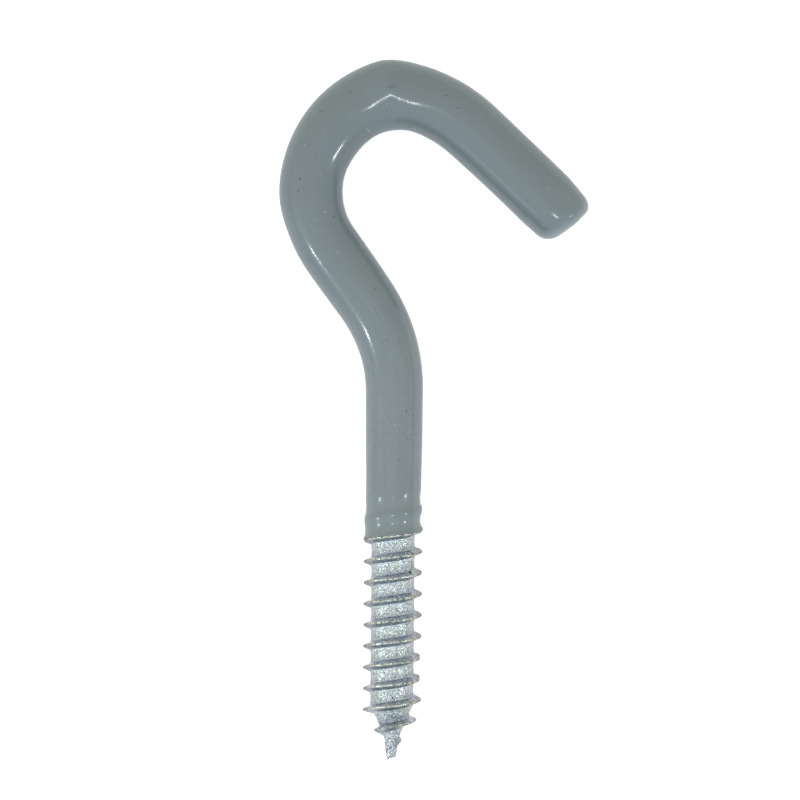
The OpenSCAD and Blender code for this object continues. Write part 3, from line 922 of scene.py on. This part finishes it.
# %% Zinc: its surface
BUMP_MM = 0.17
rough = add("MapRange", crinkle, 0.3, 0.7, 0.32, 0.16)
rugged = add("Math", stained_and_shaded, 0.6, in_root, operation="MULTIPLY_ADD")
rugged = add("Math", ragged, 0.7, rugged, operation="MULTIPLY_ADD")
deep = add("Math", crinkle, 0.5, operation="SUBTRACT")
deep = add("Math", deep, rugged, operation="MULTIPLY")
bumps = add("Bump", named={"Height": deep, "Distance": BUMP_MM * MM})
shader = add("BsdfPrincipled", named={"Base Color": base, "Metallic": 1.0, "Roughness": rough,
                                      "Normal": bumps})
add("OutputMaterial", shader)
screw.data.materials.append(zinc)
print("zinc nodes:", len(tree.nodes))

# %% [markdown]
# ## Tying the pieces to the CAD part
# Both pieces ride on the part's one body, and each stands for its CAD node.

# %% Ride on the body and replace the CAD nodes
PARTS = ((skin, "vinyl_coat", "grey_vinyl"), (screw, "steel_hook", "zinc_plated_steel"))
for piece, node, slot in PARTS:
    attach(piece, "root")
    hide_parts(node)
    print(piece.name, "stands for", node)

# %% [markdown]
# ## The table and its light
# The hook lies on a pale table, resting on three points: the crown, the free end and a crest of
# the thread. The table is parallel to those points, and just touches the lowest of the hook.

# %% Table under the three resting points
CROWN_ABOVE, END_BEYOND, THREAD_BELOW = 52, 20, -16  # where each resting point is looked for
TABLE = 6  # metres


def lowest(points):
    return points[points[:, 2].argmin()]


skin_points, screw_points = points_of(skin), points_of(screw)
rests = [lowest(skin_points[skin_points[:, 1] > CROWN_ABOVE]),
         lowest(skin_points[skin_points[:, 0] > END_BEYOND]),
         lowest(screw_points[screw_points[:, 1] < THREAD_BELOW])]
normal = np.cross(rests[1] - rests[0], rests[2] - rests[0])
normal *= math.copysign(1, normal[2]) / np.linalg.norm(normal)
bare = screw_points[screw_points[:, 1] < 0]
below = min((p @ normal).min() for p in (skin_points, bare)) * MM
bpy.ops.mesh.primitive_plane_add(size=TABLE, location=(normal * below).tolist())
table_top = bpy.context.object
table_top.name = "table_top"
table_top.rotation_euler = Vector(normal).to_track_quat("Z", "Y").to_euler()
print("resting points, mm:", [p.round(1).tolist() for p in rests])

# %% [markdown]
# The table is matt white paint. What the camera sees of it is lifted to plain white, and what
# the hook reflects of it a little, while it keeps the hook's soft shadow. Neither lift adds to
# the soft light that falls on the hook.

# %% Table paint
SEEN_LIFT, MIRRORED_LIFT = 0.58, 0.14
white, tree = new_material("table_white")
path = add("LightPath").outputs
mirrored = add("Math", path["Is Glossy Ray"], path["Is Transmission Ray"], operation="MAXIMUM")
mirrored = add("Math", mirrored, MIRRORED_LIFT, operation="MULTIPLY")
lifted = add("Math", path["Is Camera Ray"], SEEN_LIFT, mirrored, operation="MULTIPLY_ADD")
shader = add("BsdfPrincipled", named={"Base Color": colour("#EFEFEF"), "Roughness": 0.9,
                                      "Emission Color": (1, 1, 1, 1),
                                      "Emission Strength": lifted})
add("OutputMaterial", shader)
table_top.data.materials.append(white)
print("table nodes:", len(tree.nodes))

# %% [markdown]
# The room is lightest and a little blue towards -Y, duller towards +Y, and darker along the
# horizon. What the camera sees directly is plain white.

# %% World
ROOM_LEVEL = 1.05
DULL_SIDE, COOL_SIDE = (0.795, 0.805, 0.77, 1), (0.88, 0.955, 1.08, 1)
scene = bpy.context.scene
world = bpy.data.worlds.new("soft_room")
scene.world = world
world.use_nodes = True
tree = world.node_tree
tree.nodes.clear()
around = add("TexCoord").outputs["Generated"]
towards = add("SeparateXYZ", around).outputs
cool = add("MapRange", towards["Y"], 0.1, -0.4, interpolation_type="SMOOTHSTEP")
sky = add("Mix", cool, DULL_SIDE, COOL_SIDE, data_type="RGBA")
sideways = add("MapRange", towards["X"], -1.0, 1.0, 1.24, 0.9)
low = add("MapRange", towards["Y"], -0.1, 0.6, 0.44, 0.92)
high = add("MapRange", towards["Z"], 0, 0.24, low, interpolation_type="SMOOTHSTEP")
level = add("Math", sideways, high, operation="MULTIPLY")
level = add("Math", level, ROOM_LEVEL, operation="MULTIPLY")
room = add("Background", sky, level)
plain = add("Background", (1, 1, 1, 1), 1.0)
seen = add("LightPath").outputs["Is Camera Ray"]
either = add("MixShader", seen, room, plain)
add("OutputWorld", either)
print("world nodes:", len(tree.nodes))

# %% [markdown]
# Three small lamps, one above and one on each side, make the highlights. A long dim strip
# beside each side lamp draws them out. A lamp's power comes from its face's brightness, so its
# size can change without a change in its highlight's brightness.

# %% Lamps
LAMPS = {  # place in mm, width and length in mm, brightness of its face
    "lamp_middle": ((-1, -79, 450), (40, 26), 46),
    "lamp_left": ((-172, -52, 100), (18, 16), 46),
    "lamp_right": ((174, -48, 120), (15, 21), 50),
    "strip_left": ((-172, -50, 100), (96, 13), 1.7),
    "strip_right": ((174, -40, 120), (80, 14), 2.0),
}
LAMP_AIM = Vector((0, 20, 0)) * MM
for name, (spot, (width, length), bright) in LAMPS.items():
    data = bpy.data.lights.new(name, "AREA")
    data.shape = "ELLIPSE"
    data.size, data.size_y = width * MM, length * MM
    data.energy = bright * math.pi * math.pi * width * length * MM * MM / 4
    lamp = bpy.data.objects.new(name, data)
    scene.collection.objects.link(lamp)
    lamp.location = Vector(spot) * MM
    lamp.rotation_euler = (LAMP_AIM - lamp.location).to_track_quat("-Z", "Y").to_euler()
    print(name, round(data.energy * 1000, 3), "mW")

# %% [markdown]
# ## The camera
# It looks straight down with a long lens, so the hook shows with hardly any perspective.

# %% Camera
FIELD, DISTANCE = 106.67, 600.0  # width seen on the table, and height above it, in mm
MIDDLE, ROLL = (0.75, 18.05), 0.5  # what the camera looks at in mm, and its turn in degrees
camera = bpy.data.objects.new("camera", bpy.data.cameras.new("camera"))
scene.collection.objects.link(camera)
camera.data.lens = camera.data.sensor_width * DISTANCE / FIELD
camera.location = Vector((*MIDDLE, DISTANCE)) * MM
camera.rotation_euler = (0, 0, math.radians(ROLL))
scene.camera = camera
scene.view_settings.view_transform = "Standard"
print("lens:", round(camera.data.lens, 1), "mm")
